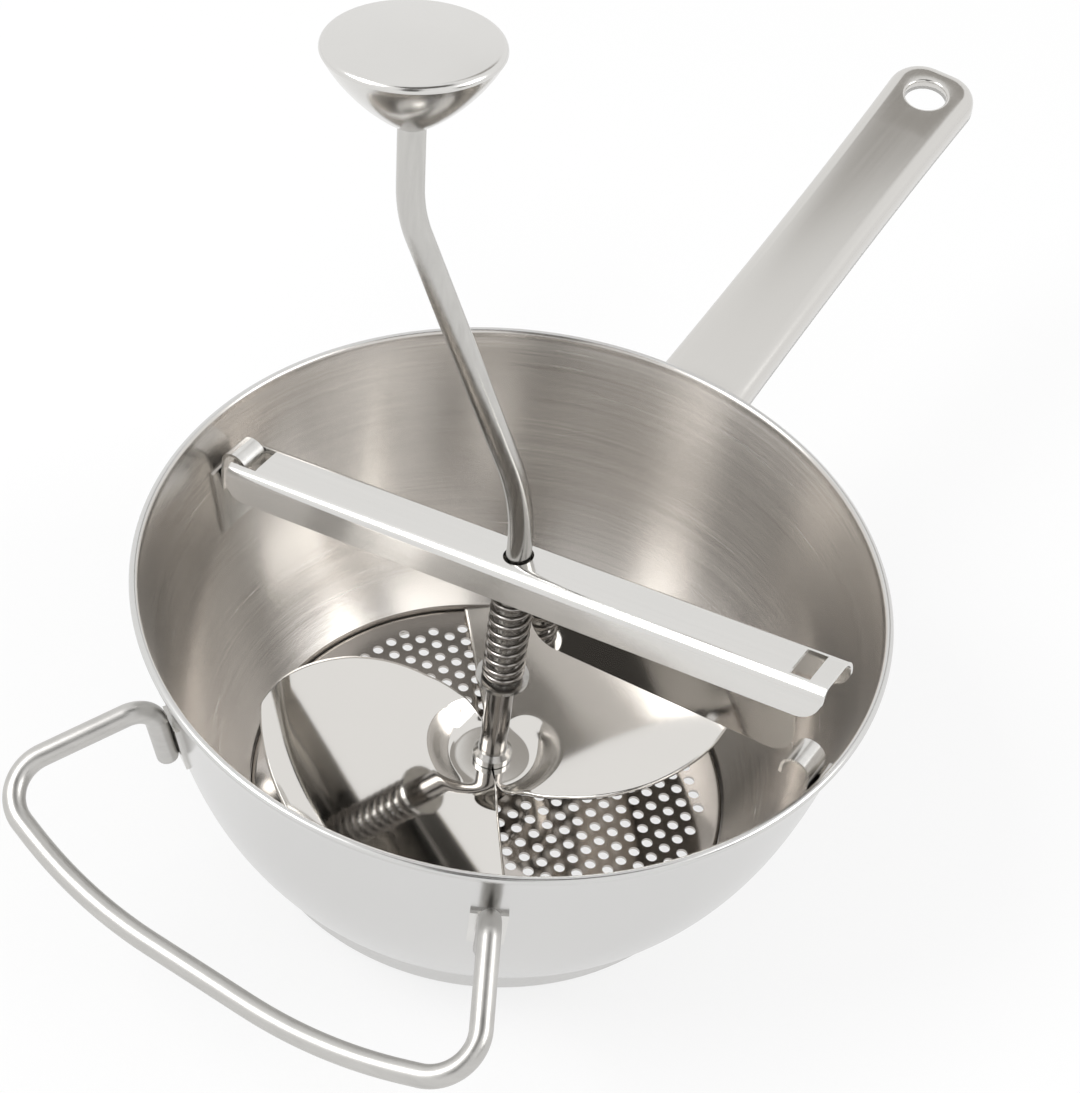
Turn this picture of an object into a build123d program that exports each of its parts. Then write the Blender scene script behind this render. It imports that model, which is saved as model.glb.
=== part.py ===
"""Hand-cranked stainless food mill: bowl, sieve disc, sprung blade, crossbar, crank and two handles.

Frame: the bowl's axis is Z, its foot stands on Z = 0, the long handle points to +X,
the wire handle to -X, and the crossbar lies along Y with its free end at -Y.
"""
import os
from math import ceil, cos, hypot, radians, sin, sqrt, tan

from build123d import *

# Bowl
rim_radius = 120.0
bowl_height = 105.0
foot_radius = 81.7
foot_height = 7.0
belly_inset = 16.9
belly_height = 42.0
neck_inset = 4.4
neck_height = 93.0
bowl_sheet = 1.2
lip_radius = 1.4
foot_flange = 5.7
foot_slope = 47.0
lip_slope = 68.0

# Sieve disc
disc_clearance = 0.4
disc_sheet = 1.0
disc_dish = 4.0
disc_corner = 1.8
disc_margin = 6.0
hole_diameter = 3.7
hole_pitch = 6.1
lattice_turn = -14.5
disc_boss_radius = 8.0
disc_boss_height = 3.0
disc_boss_taper = 20.0

# Pivot between disc and shaft
pivot_diameter = 5.0
pivot_length = 8.0
pivot_chamfer = 0.6
running_clearance = 0.05
shaft_foot_gap = 0.4
pivot_end_gap = 0.5

# Blade
blade_sheet = 1.2
blade_radius = 78.0
blade_slope = 18.0
blade_uphill = -80.0
blade_trail_turn = 40.0
blade_root_turn = -137.0
blade_disc_gap = 0.8
hub_height = 19.0
hub_flat_radius = 13.0
blade_twist_radius = 23.0
hub_radius = 12.0
hub_step = 0.3
leading_bulge_radius = 44.0
leading_bulge_turn = -94.0
leading_tip_turn = -55.0
lobe_sections = 10

# Shaft and crank
rod_diameter = 8.0
knob_offset = 44.0
knob_turn = 122.0
spindle_lean = 7.4
spindle_lean_turn = 55.0
spindle_drop = 28.0
low_bend_height = 136.3
low_bend_radius = 105.0
high_bend_radius = 50.0
hub_collar_radius = 6.6
hub_collar_height = 4.2
hub_collar_chamfer = 1.6

# Pressure spring
spring_seat_height = 59.5
spring_wire = 2.0
spring_outer_diameter = 14.0
spring_pitch = 4.5
spring_end_gap = 0.3
washer_diameter = 17.4
washer_thickness = 1.5
washer_edge_gap = 0.02
upper_washer_radius = 6.7
sleeve_diameter = 9.2

# Crossbar
bar_flat = 9.1
bar_depth = 13.2
bar_near_depth = 10.0
bar_flare = 22.0
bar_sheet = 1.2
bar_corner = 5.2
bar_end_corner = 8.0
bar_free_reach = 3.0
bar_hook_gap = 1.7
bar_tilt = 10.4
bar_hole_clearance = 0.9
washer_hole_clearance = 0.3
slot_length = 7.0
slot_width = 11.6
slot_end_margin = 3.0
slot_shift = 0.9

# Stop plate under the free half of the crossbar
plate_start = -4.0
plate_end = 92.0
plate_start_depth = 44.0
plate_end_depth = 51.5
plate_sheet = 1.0
plate_corner = 9.0

# Spring clips on the bowl wall
clip_strip = 1.0
clip_width = 10.4
clip_crest_drop = 7.4
clip_curl_radius = 4.6
clip_tip_drop = 3.0
clip_leg_height = 79.5
clip_wall_gap = 0.2
clip_pad_low = 64.0
clip_pad_high = 88.0
clip_pad_half_angle = 4.5

# Long handle
handle_root_inset = 0.6
handle_root_drop = 5.2
handle_turn = 1.5
handle_wall_gap = 0.2
handle_end_corner = 13.0
handle_length = 190.5
handle_root_width = 33.0
handle_waist_width = 31.4
handle_end_width = 34.4
handle_waist_place = 90.0
handle_depth = 8.5
handle_slope = 8.5
handle_sheet = 1.2
handle_corner = 5.0
hang_hole_diameter = 15.6
hang_hole_from_end = 17.5
hang_lip_depth = 3.0
saddle_half_angle = 6.0
saddle_low = 72.0
saddle_high = 98.0
saddle_thickness = 2.0
tongue_length = 26.0
tongue_width = 20.0

# Wire handle
wire_diameter = 7.0
wire_turn = -0.9
wire_arm_height = 90.5
wire_arm_angle = 31.5
wire_corner_reach = 25.2
wire_corner_y = 88.8
wire_corner_height = 75.6
wire_outer_reach = 36.6
wire_outer_half = 43.5
wire_outer_height = 65.8
wire_leg_height = 64.0
wire_leg_bend = 8.0
wire_corner_bend = 13.7
wire_outer_bend = 160.0
bracket_thickness = 1.2
bracket_low = 62.0
bracket_high = 81.0
bracket_half_angle = 2.9

# Knob
knob_diameter = 50.4
knob_base_height = 275.5
knob_cup_depth = 22.5
knob_cup_belly = 1.8
knob_dome_rise = 3.5
knob_sheet = 1.0
knob_neck_radius = 4.9
cap_skirt = 2.0
spindle_diameter = 6.0
bush_radius = 4.4
bush_length = 16.0
bush_float = 0.4
retainer_radius = 4.6
retainer_thickness = 1.2

def save(part, name):
    """Label one finished piece and write it."""
    part.label = name
    export_step(part, f"parts/{name}.step")


def polar(radius, turn, height):
    """A point from a radius, an angle in degrees and a height."""
    return (radius * cos(radians(turn)), radius * sin(radians(turn)), height)


def wall_points(shift):
    """The bowl wall's profile from foot to lip, moved outwards by a shift."""
    return [
        (foot_radius + shift, foot_height),
        (belly_radius + shift, belly_height),
        (neck_radius + shift, neck_height),
        (rim_radius - lip_radius + shift, bowl_height - lip_radius),
    ]


def wall_curve(shift=0.0):
    """The smooth line through the wall's profile points."""
    ends = [(cos(radians(a)), sin(radians(a))) for a in (foot_slope, lip_slope)]
    return Spline(*wall_points(shift), tangents=ends)


def wall_patch(inner, outer, low, high, half_angle, turn):
    """A piece of shell that follows the bowl wall between two shifts and two heights."""
    with BuildPart() as patch:
        with BuildSketch(Plane.XZ):
            with BuildLine():
                far_line = wall_curve(outer)
                near_line = wall_curve(inner)
                Line(far_line @ 1, near_line @ 1)
                Line(far_line @ 0, near_line @ 0)
            make_face()
            with Locations((rim_radius, (low + high) / 2)):
                Rectangle(rim_radius, high - low, mode=Mode.INTERSECT)
        revolve(axis=Axis.Z, revolution_arc=2 * half_angle)
    return patch.part.rotate(Axis.Z, turn - half_angle)


def wall_radius(height):
    """The wall's outer radius at a height, found by halving the profile line."""
    with BuildLine():
        profile = wall_curve()
    low, high = 0.0, 1.0
    for _ in range(40):
        middle = (low + high) / 2
        if (profile @ middle).Y < height:
            low = middle
        else:
            high = middle
    return (profile @ low).X


# Worked-out places
belly_radius = rim_radius - belly_inset
neck_radius = rim_radius - neck_inset
handle_root_radius = rim_radius - handle_root_inset
wire_corner_x = rim_radius + wire_corner_reach
wire_outer_x = rim_radius + wire_outer_reach
disc_radius = foot_radius - bowl_sheet - disc_clearance
disc_top = bowl_sheet + disc_dish
boss_top = disc_top + disc_boss_height
shaft_foot = boss_top + shaft_foot_gap
rod_radius = rod_diameter / 2
knob_frame = Plane(
    origin=polar(knob_offset, knob_turn, knob_base_height),
    z_dir=polar(sin(radians(spindle_lean)), spindle_lean_turn, cos(radians(spindle_lean))),
)
rod_top = knob_frame.offset(-bush_float)
knob_radius = knob_diameter / 2
clip_crest_height = bowl_height - clip_crest_drop
clip_leg_radius = wall_radius(clip_leg_height) - bowl_sheet - clip_wall_gap - clip_strip / 2
clip_curl_centre = clip_leg_radius - clip_curl_radius
clip_curl_height = clip_crest_height - clip_curl_radius - clip_strip / 2
slot_middle = clip_curl_centre - clip_curl_radius + slot_shift
bar_length = 2 * slot_middle + slot_length + 2 * slot_end_margin
bar_rise = bar_length / 2 * sin(radians(bar_tilt))
bar_top_height = clip_crest_height - clip_strip - bar_hook_gap + bar_rise
bar_hole_radius = rod_radius + bar_hole_clearance
bar_plane = Plane(
    origin=(0, 0, bar_top_height),
    x_dir=(0, -cos(radians(bar_tilt)), sin(radians(bar_tilt))),
    z_dir=(0, sin(radians(bar_tilt)), cos(radians(bar_tilt))),
)
handle_plane = Plane(
    origin=polar(handle_root_radius, handle_turn, bowl_height - handle_root_drop),
    x_dir=polar(cos(radians(handle_slope)), handle_turn, sin(radians(handle_slope))),
    z_dir=polar(-sin(radians(handle_slope)), handle_turn, cos(radians(handle_slope))),
)

os.makedirs("parts", exist_ok=True)

# Bowl: one spun sheet with a foot, an inward flange and a beaded lip
with BuildPart() as bowl:
    with BuildSketch(Plane.XZ):
        with BuildLine():
            outer_wall = wall_curve()
            inner_wall = wall_curve(-bowl_sheet)
            Line(outer_wall @ 1, inner_wall @ 1)
            Polyline(
                outer_wall @ 0,
                (foot_radius, 0),
                (foot_radius - foot_flange, 0),
                (foot_radius - foot_flange, bowl_sheet),
                (foot_radius - bowl_sheet, bowl_sheet),
                inner_wall @ 0,
            )
        make_face()
        with Locations((rim_radius - lip_radius, bowl_height - lip_radius)):
            Circle(lip_radius)
    revolve(axis=Axis.Z)
save(bowl.part, "bowl")

# Sieve disc: a shallow dished plate with a triangular lattice of holes and a centre boss
lattice_step = (hole_pitch / 2, hole_pitch * sqrt(3) / 2)
perforated_radius = disc_radius - disc_margin - hole_diameter / 2
row_count = ceil(perforated_radius / lattice_step[1])
lattice_reach = range(-2 * row_count, 2 * row_count + 1)
lattice = [
    (hole_pitch * i + lattice_step[0] * j, lattice_step[1] * j)
    for j in range(-row_count, row_count + 1)
    for i in lattice_reach
]
clear_of_boss = disc_boss_radius + hole_diameter / 2 + disc_sheet
holes = [p for p in lattice if clear_of_boss < hypot(*p) < perforated_radius]
with BuildPart() as sieve_disc:
    with BuildSketch(Plane.XY.offset(bowl_sheet)):
        Circle(disc_radius)
    extrude(amount=disc_dish)
    fillet(sieve_disc.faces().sort_by(Axis.Z)[-1].edges(), radius=disc_corner)
    with BuildSketch(Plane.XY.offset(bowl_sheet)):
        Circle(disc_radius - disc_sheet)
    extrude(amount=disc_dish - disc_sheet, mode=Mode.SUBTRACT)
    with BuildSketch(Plane.XY.offset(disc_top)):
        Circle(disc_boss_radius)
    extrude(amount=disc_boss_height, taper=disc_boss_taper)
    with BuildSketch(Plane.XY.offset(disc_top).rotated((0, 0, lattice_turn))):
        with Locations(*holes):
            Circle(hole_diameter / 2)
    extrude(amount=-disc_sheet, mode=Mode.SUBTRACT)
    with BuildSketch(Plane.XY.offset(boss_top)):
        Circle(pivot_diameter / 2)
    extrude(amount=-disc_boss_height, mode=Mode.SUBTRACT)
save(sieve_disc.part, "sieve_disc")

# Pivot pin standing in the disc's boss
with BuildPart() as disc_pivot:
    with BuildSketch(Plane.XY.offset(disc_top)):
        Circle(pivot_diameter / 2)
    extrude(amount=disc_boss_height + pivot_length)
    chamfer(disc_pivot.edges().sort_by(Axis.Z)[-1], length=pivot_chamfer)
save(disc_pivot.part, "disc_pivot")

# Blade: two twisted lobes that rise from the disc to a raised leading edge
lobe_reach = blade_radius + blade_sheet
lobe_root = rod_radius / 2
lobe_low = disc_top + blade_disc_gap + blade_sheet


def lobe_section(turn):
    """The lobe's thin radial section at an angle."""
    rise = tan(radians(blade_slope)) * cos(radians(turn - blade_uphill))
    outer_top = max(lobe_low, hub_height + rise * lobe_reach)
    twist_top = hub_height + rise * blade_twist_radius
    top_line = [
        (lobe_root, hub_height),
        (hub_flat_radius, hub_height),
        (blade_twist_radius, twist_top),
        (lobe_reach, outer_top),
    ]
    under_line = [(reach, top - blade_sheet) for reach, top in reversed(top_line)]
    with BuildSketch(Plane.XZ.rotated((0, 0, turn))) as section:
        with BuildLine():
            Polyline(*top_line, *under_line, close=True)
        make_face()
    return section.sketch


section_step = (blade_trail_turn - blade_root_turn) / (lobe_sections - 1)
with BuildPart() as lobe:
    loft([lobe_section(blade_root_turn + section_step * k) for k in range(lobe_sections)])
    with BuildSketch(Plane.XY):
        with BuildLine():
            Line((0, 0), polar(hub_flat_radius, blade_root_turn, 0))
            Spline(
                polar(hub_flat_radius, blade_root_turn, 0),
                polar(leading_bulge_radius, leading_bulge_turn, 0),
                polar(blade_radius, leading_tip_turn, 0),
            )
            RadiusArc(
                polar(blade_radius, leading_tip_turn, 0),
                polar(blade_radius, blade_trail_turn, 0),
                -blade_radius,
            )
            Line(polar(blade_radius, blade_trail_turn, 0), (0, 0))
        make_face()
    extrude(amount=bowl_height, mode=Mode.INTERSECT)
with BuildPart() as blade:
    add(lobe.part)
    add(lobe.part.rotate(Axis.Z, 180))
    with BuildSketch(Plane.XY.offset(hub_height - blade_sheet - hub_step)):
        Circle(hub_radius)
    extrude(amount=blade_sheet + 2 * hub_step)
    with BuildSketch(Plane.XY.offset(shaft_foot)):
        Circle(rod_radius)
    extrude(amount=bowl_height, mode=Mode.SUBTRACT)
save(blade.part, "blade")

# Collar that joins the blade's hub to the shaft
hub_top = hub_height + hub_step
with BuildPart() as hub_collar:
    with BuildSketch(Plane.XY.offset(hub_top)):
        Circle(hub_collar_radius)
        Circle(rod_radius, mode=Mode.SUBTRACT)
    extrude(amount=hub_collar_height)
    top_edges = hub_collar.faces().sort_by(Axis.Z)[-1].edges()
    chamfer(top_edges.sort_by(SortBy.RADIUS)[-1], length=hub_collar_chamfer)
save(hub_collar.part, "hub_collar")

# Crank rod: shaft, two bends and the spindle that carries the knob
spindle_radius = spindle_diameter / 2
spindle_length = bush_float + bush_length + bush_float + retainer_thickness
pivot_bore_depth = pivot_length - shaft_foot_gap + pivot_end_gap
with BuildPart() as crank_rod:
    with BuildLine() as rod_path:
        FilletPolyline(
            (0, 0, shaft_foot),
            (0, 0, low_bend_height),
            knob_frame.offset(-spindle_drop).origin,
            rod_top.origin,
            radius=[low_bend_radius, high_bend_radius],
        )
    with BuildSketch(Plane.XY.offset(shaft_foot)):
        Circle(rod_radius)
    sweep(path=rod_path.wire())
    with BuildSketch(rod_top):
        Circle(spindle_radius)
    extrude(amount=spindle_length)
    with BuildSketch(Plane.XY.offset(shaft_foot)):
        Circle(pivot_diameter / 2 + running_clearance)
    extrude(amount=pivot_bore_depth, mode=Mode.SUBTRACT)
save(crank_rod.part, "crank_rod")

# Spring seat: a sleeve on the shaft and the washer that stands on it
sleeve_foot = hub_top + hub_collar_height
washer_under = spring_seat_height - washer_thickness
for name, low, tall, across in (
    ("shaft_sleeve", sleeve_foot, washer_under - sleeve_foot, sleeve_diameter),
    ("lower_washer", washer_under, washer_thickness, washer_diameter),
):
    with BuildPart() as ring:
        with BuildSketch(Plane.XY.offset(low)):
            Circle(across / 2)
            Circle(rod_radius, mode=Mode.SUBTRACT)
        extrude(amount=tall)
    save(ring.part, name)

# Pressure spring between the lower washer and the washer under the crossbar
fold_inner_radius = bar_corner - bar_sheet
washer_overlap = upper_washer_radius - bar_flat / 2
washer_seat = bar_corner - sqrt(fold_inner_radius**2 - washer_overlap**2) + washer_edge_gap
washer_lean = spring_outer_diameter / 2 * sin(radians(bar_tilt))
washer_drop = (washer_seat + washer_thickness) * cos(radians(bar_tilt))
spring_low = spring_seat_height + spring_wire / 2 + spring_end_gap
spring_high = bar_top_height - washer_drop - washer_lean - spring_wire / 2 - spring_end_gap
with BuildPart() as pressure_spring:
    with BuildLine():
        coil = Helix(
            pitch=spring_pitch,
            height=spring_high - spring_low,
            radius=(spring_outer_diameter - spring_wire) / 2,
            center=(0, 0, spring_low),
        )
    with BuildSketch(Plane(origin=coil @ 0, z_dir=coil % 0)):
        Circle(spring_wire / 2)
    sweep(path=coil, is_frenet=True)
save(pressure_spring.part, "pressure_spring")

# Crossbar: an inverted channel with one flared wall, a shaft hole and a slot near each end
bar_start = bar_plane.from_local_coords((-bar_length / 2, 0, 0))
bar_section = Plane(origin=bar_start, x_dir=(1, 0, 0), z_dir=bar_plane.x_dir)
bar_side = Plane(origin=bar_plane.origin, x_dir=bar_plane.x_dir, z_dir=(-1, 0, 0))
fold_middle_radius = bar_corner - bar_sheet / 2
far_wall = bar_flat / 2 + fold_middle_radius
near_shoulder = bar_flat / 2 + fold_middle_radius * tan(radians(90 - bar_flare) / 2)
near_foot = near_shoulder + (bar_near_depth - bar_sheet / 2) * tan(radians(bar_flare))
with BuildPart() as bar_outline:
    for depth, reach in ((bar_near_depth, near_foot + bar_sheet), (bar_depth, -far_wall - bar_sheet)):
        with BuildSketch(bar_side):
            with Locations((bar_free_reach / 2, 0)):
                RectangleRounded(bar_length + bar_free_reach, 2 * depth, bar_end_corner)
        extrude(amount=reach)
with BuildPart() as crossbar:
    with BuildSketch(bar_section):
        with BuildLine():
            FilletPolyline(
                (-near_foot, -bar_near_depth),
                (-near_shoulder, -bar_sheet / 2),
                (far_wall, -bar_sheet / 2),
                (far_wall, -bar_depth),
                radius=fold_middle_radius,
            )
        trace(line_width=bar_sheet)
    extrude(amount=bar_length + bar_free_reach)
    add(bar_outline.part, mode=Mode.INTERSECT)
    with BuildSketch(bar_plane):
        Circle(bar_hole_radius)
        with Locations((-slot_middle, 0), (slot_middle, 0)):
            Rectangle(slot_length, slot_width)
    extrude(amount=-bar_depth / 2, mode=Mode.SUBTRACT)
save(crossbar.part, "crossbar")

# Washer that the spring pushes up against the crossbar
with BuildPart() as upper_washer:
    with BuildSketch(bar_plane.offset(-washer_seat)):
        Circle(upper_washer_radius)
        Circle(bar_hole_radius + washer_hole_clearance, mode=Mode.SUBTRACT)
    extrude(amount=-washer_thickness)
save(upper_washer.part, "upper_washer")

# Stop plate on the outside of the crossbar's far wall, which holds the food back
plate_face = Plane(
    origin=bar_side.origin + (far_wall + bar_sheet / 2, 0, 0), x_dir=bar_side.x_dir, z_dir=(-1, 0, 0)
)
with BuildPart() as stop_plate:
    with BuildSketch(plate_face) as plate_outline:
        with BuildLine():
            Polyline(
                (plate_start, -bar_corner),
                (plate_end, -bar_corner),
                (plate_end, -plate_end_depth),
                (plate_start, -plate_start_depth),
                close=True,
            )
        make_face()
        fillet(plate_outline.vertices().sort_by(Axis.Y)[:2], radius=plate_corner)
    extrude(amount=-plate_sheet)
save(stop_plate.part, "stop_plate")

# Spring clips: a pad on the wall, a leg and a curl that the crossbar's slots fit over
for name, side in (("left_clip", 1), ("right_clip", -1)):
    with BuildPart() as clip:
        with BuildSketch(Plane(origin=(0, 0, 0), x_dir=(0, side, 0), z_dir=(side, 0, 0))):
            with BuildLine():
                Line((clip_leg_radius, clip_leg_height), (clip_leg_radius, clip_curl_height))
                CenterArc((clip_curl_centre, clip_curl_height), clip_curl_radius, 0, 180)
                Line(
                    (clip_curl_centre - clip_curl_radius, clip_curl_height),
                    (clip_curl_centre - clip_curl_radius, clip_curl_height - clip_tip_drop),
                )
            trace(line_width=clip_strip)
        extrude(amount=clip_width / 2, both=True)
        add(
            wall_patch(
                -bowl_sheet - clip_strip,
                -bowl_sheet,
                clip_pad_low,
                clip_pad_high,
                clip_pad_half_angle,
                side * 90,
            )
        )
    save(clip.part, name)

# Long handle: a pressed tray, open below, cut to the bowl wall and pierced for hanging
with BuildPart() as wall_core:
    with BuildSketch(Plane.XZ):
        with BuildLine():
            core_edge = wall_curve(handle_wall_gap)
            Polyline(core_edge @ 0, (0, foot_height), (0, bowl_height - lip_radius), core_edge @ 1)
        make_face()
    revolve(axis=Axis.Z)
handle_up = Axis(handle_plane.origin, handle_plane.z_dir)
hang_hole_place = handle_length - hang_hole_from_end
tray_start = handle_root_width


def tray_outline(inset):
    """The handle's waisted outline on its lower plane, smaller by an inset."""
    side_line = [
        (-tray_start, handle_root_width / 2 - inset),
        (handle_waist_place, handle_waist_width / 2 - inset),
        (handle_length - inset, handle_end_width / 2 - inset),
    ]
    with BuildSketch(handle_plane.offset(-handle_depth)) as outline:
        with BuildLine():
            side = Polyline(*side_line)
            Line(side @ 0, (-tray_start, 0))
            Line(side @ 1, (handle_length - inset, 0))
            mirror(about=Plane.XZ)
        make_face()
        fillet(outline.vertices().group_by(Axis.X)[-1], radius=handle_end_corner - inset)
    return outline.sketch


with BuildPart() as tray_hollow:
    extrude(tray_outline(handle_sheet), amount=handle_depth - handle_sheet, dir=handle_plane.z_dir)
    hollow_top = tray_hollow.faces().sort_by(handle_up)[-1]
    fillet(hollow_top.edges(), radius=handle_corner - handle_sheet)
with BuildPart() as handle_shell:
    extrude(tray_outline(0), amount=handle_depth, dir=handle_plane.z_dir)
    tray_top = handle_shell.faces().sort_by(handle_up)[-1]
    fillet(tray_top.edges(), radius=handle_corner)
    add(tray_hollow.part, mode=Mode.SUBTRACT)
    with BuildSketch(handle_plane.offset(-handle_sheet)):
        with Locations((hang_hole_place, 0)):
            Circle(hang_hole_diameter / 2 + handle_sheet)
    extrude(amount=-hang_lip_depth)
    with BuildSketch(handle_plane):
        with Locations((hang_hole_place, 0)):
            Circle(hang_hole_diameter / 2)
    extrude(amount=-handle_depth, mode=Mode.SUBTRACT)
    add(wall_core.part, mode=Mode.SUBTRACT)
save(handle_shell.part, "handle_shell")

# Saddle: welded to the wall, with a tongue under the handle's top sheet
with BuildPart() as handle_saddle:
    with BuildSketch(handle_plane.offset(-handle_sheet)):
        with Locations(((tongue_length - tray_start) / 2, 0)):
            Rectangle(tongue_length + tray_start, tongue_width)
    extrude(amount=-saddle_thickness)
    add(wall_core.part, mode=Mode.SUBTRACT)
    add(wall_patch(0, saddle_thickness, saddle_low, saddle_high, saddle_half_angle, handle_turn))
save(handle_saddle.part, "handle_saddle")

# Wire handle: one bent rod whose two legs lie against brackets on the wall
wire_radius = wire_diameter / 2
wire_stand_off = bracket_thickness + wire_radius
leg_radius = wall_radius(wire_leg_height) + wire_stand_off
arm_radius = wall_radius(wire_arm_height) + wire_stand_off
with BuildPart() as wire_handle:
    with BuildLine() as wire_path:
        FilletPolyline(
            polar(leg_radius, 180 - wire_arm_angle, wire_leg_height),
            polar(arm_radius, 180 - wire_arm_angle, wire_arm_height),
            (-wire_corner_x, wire_corner_y, wire_corner_height),
            (-wire_outer_x, wire_outer_half, wire_outer_height),
            (-wire_outer_x, -wire_outer_half, wire_outer_height),
            (-wire_corner_x, -wire_corner_y, wire_corner_height),
            polar(arm_radius, 180 + wire_arm_angle, wire_arm_height),
            polar(leg_radius, 180 + wire_arm_angle, wire_leg_height),
            radius=[
                wire_leg_bend,
                wire_corner_bend,
                wire_outer_bend,
                wire_outer_bend,
                wire_corner_bend,
                wire_leg_bend,
            ],
        )
    wire_route = wire_path.wire()
    with BuildSketch(Plane(origin=wire_route @ 0, z_dir=wire_route % 0)):
        Circle(wire_radius)
    sweep(path=wire_route)
save(wire_handle.part.rotate(Axis.Z, wire_turn), "wire_handle")
for name, side in (("left_bracket", -1), ("right_bracket", 1)):
    turn = 180 + side * wire_arm_angle + wire_turn
    bracket = wall_patch(0, bracket_thickness, bracket_low, bracket_high, bracket_half_angle, turn)
    save(bracket, name)

# Knob: a conical cup and a domed cap around a bush that turns on the crank's spindle
knob_plane = Plane(origin=knob_frame.origin, x_dir=knob_frame.x_dir, z_dir=-knob_frame.y_dir)
knob_axis = Axis(knob_frame.origin, knob_frame.z_dir)
cup_run = hypot(knob_radius - knob_neck_radius, knob_cup_depth)
belly_out = knob_cup_belly * knob_cup_depth / cup_run
belly_down = knob_cup_belly * (knob_radius - knob_neck_radius) / cup_run
cup_middle = (
    (knob_radius + knob_neck_radius) / 2 + belly_out,
    knob_cup_depth / 2 - belly_down,
)
with BuildPart() as knob_cup:
    with BuildSketch(knob_plane):
        with BuildLine():
            ThreePointArc((knob_neck_radius, 0), cup_middle, (knob_radius, knob_cup_depth))
            ThreePointArc(
                (knob_neck_radius, knob_sheet),
                (cup_middle[0] - knob_sheet, cup_middle[1] + knob_sheet),
                (knob_radius - knob_sheet, knob_cup_depth),
            )
            Line((knob_radius, knob_cup_depth), (knob_radius - knob_sheet, knob_cup_depth))
            Polyline(
                (knob_neck_radius, 0),
                (bush_radius, 0),
                (bush_radius, knob_sheet),
                (knob_neck_radius, knob_sheet),
            )
        make_face()
    revolve(axis=knob_axis)
save(knob_cup.part, "knob_cup")

knob_top = knob_cup_depth + knob_dome_rise
cap_edge = (knob_radius - cap_skirt, knob_cup_depth + cap_skirt)
cap_inside = (cap_edge[0], cap_edge[1] - knob_sheet)
with BuildPart() as knob_cap:
    with BuildSketch(knob_plane):
        with BuildLine():
            TangentArc((0, knob_top), cap_edge, tangent=(1, 0))
            TangentArc((knob_radius, knob_cup_depth), cap_edge, tangent=(0, 1))
            Polyline((knob_radius, knob_cup_depth), (knob_radius - knob_sheet, knob_cup_depth), cap_inside)
            TangentArc((0, knob_top - knob_sheet), cap_inside, tangent=(1, 0))
            Line((0, knob_top - knob_sheet), (0, knob_top))
        make_face()
    revolve(axis=knob_axis)
save(knob_cap.part, "knob_cap")

for name, low, tall, inner, outer in (
    ("knob_bush", 0, bush_length, spindle_radius + running_clearance, bush_radius),
    ("knob_retainer", bush_length + bush_float, retainer_thickness, spindle_radius, retainer_radius),
):
    with BuildPart() as ring:
        with BuildSketch(knob_frame.offset(low)):
            Circle(outer)
            Circle(inner, mode=Mode.SUBTRACT)
        extrude(amount=tall)
    save(ring.part, name)
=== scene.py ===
"""Looks for the hand-cranked food mill: its pieces, finishes and a plain studio around the packed part.

The file is laid out as an add-on and run as a script. Everything is in metres, in the part's own frame:
the bowl's axis is Z, the long handle points to +X and the crossbar's free end to -Y.
"""
import math

import bmesh
import bpy
from bpy.props import FloatProperty, FloatVectorProperty, IntProperty, PointerProperty
from bpy.types import Operator, Panel, PropertyGroup
from mathutils import Matrix, Vector
from mathutils.geometry import interpolate_bezier


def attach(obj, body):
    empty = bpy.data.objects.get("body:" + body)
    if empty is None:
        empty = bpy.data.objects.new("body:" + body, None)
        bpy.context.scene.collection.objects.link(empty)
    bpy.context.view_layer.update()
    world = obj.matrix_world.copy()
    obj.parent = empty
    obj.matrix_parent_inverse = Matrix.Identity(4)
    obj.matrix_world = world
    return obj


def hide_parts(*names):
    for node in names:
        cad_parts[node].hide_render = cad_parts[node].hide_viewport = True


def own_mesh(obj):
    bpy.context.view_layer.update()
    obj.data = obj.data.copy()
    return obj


bl_info = {
    "name": "Food mill",
    "version": (1, 0, 0),
    "blender": (4, 5, 0),
    "location": "View3D > Sidebar > Mill",
    "description": "Builds the food mill's pieces, finishes and studio around its packed frame",
    "category": "Object",
}

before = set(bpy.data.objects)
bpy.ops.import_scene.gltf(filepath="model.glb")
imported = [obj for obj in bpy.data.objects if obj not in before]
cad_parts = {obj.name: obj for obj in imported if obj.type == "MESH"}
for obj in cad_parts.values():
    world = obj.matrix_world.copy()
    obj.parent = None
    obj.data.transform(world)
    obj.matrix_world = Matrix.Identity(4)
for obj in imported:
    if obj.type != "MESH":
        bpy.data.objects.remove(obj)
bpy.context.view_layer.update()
FULL_TURN = 2 * math.pi
FINE = 1e-6
# Mesh steps of curves, folds and rounded corners, and around rods, holes and turned pieces
CURVE_STEPS = 24
WALL_STEPS = 16
FOLD_STEPS = 12
EDGE_STEPS = 8
LIP_STEPS = 5
ROD_SIDES = 40
WIRE_SIDES = 14
COIL_STEPS = 32
HOLE_STEPS = 48
HANG_HOLE_STEPS = 64
KNOB_STEPS = 128
BOWL_STEPS = 240
LOBE_STEPS = (96, 84)
SIDE_STEPS = 40
CORNER_STEPS = 16
# Angles in degrees from which an edge stays sharp: on turned pieces and rods, and on folded sheet
CREASE = 40.0
FOLD_CREASE = 60.0


def size(name, default, description):
    """A length that a user may change."""
    return FloatProperty(name=name, description=description, default=default, unit="LENGTH", precision=5)


def turn(name, default, description):
    """An angle in degrees that a user may change."""
    return FloatProperty(name=name, description=description, default=default)


def tint(name, default, description):
    """A colour that a user may change."""
    return FloatVectorProperty(
        name=name, description=description, default=default, subtype="COLOR", min=0, max=1
    )


def spot(name, default, description):
    """A place that a user may change."""
    return FloatVectorProperty(name=name, description=description, default=default, subtype="XYZ")


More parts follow.
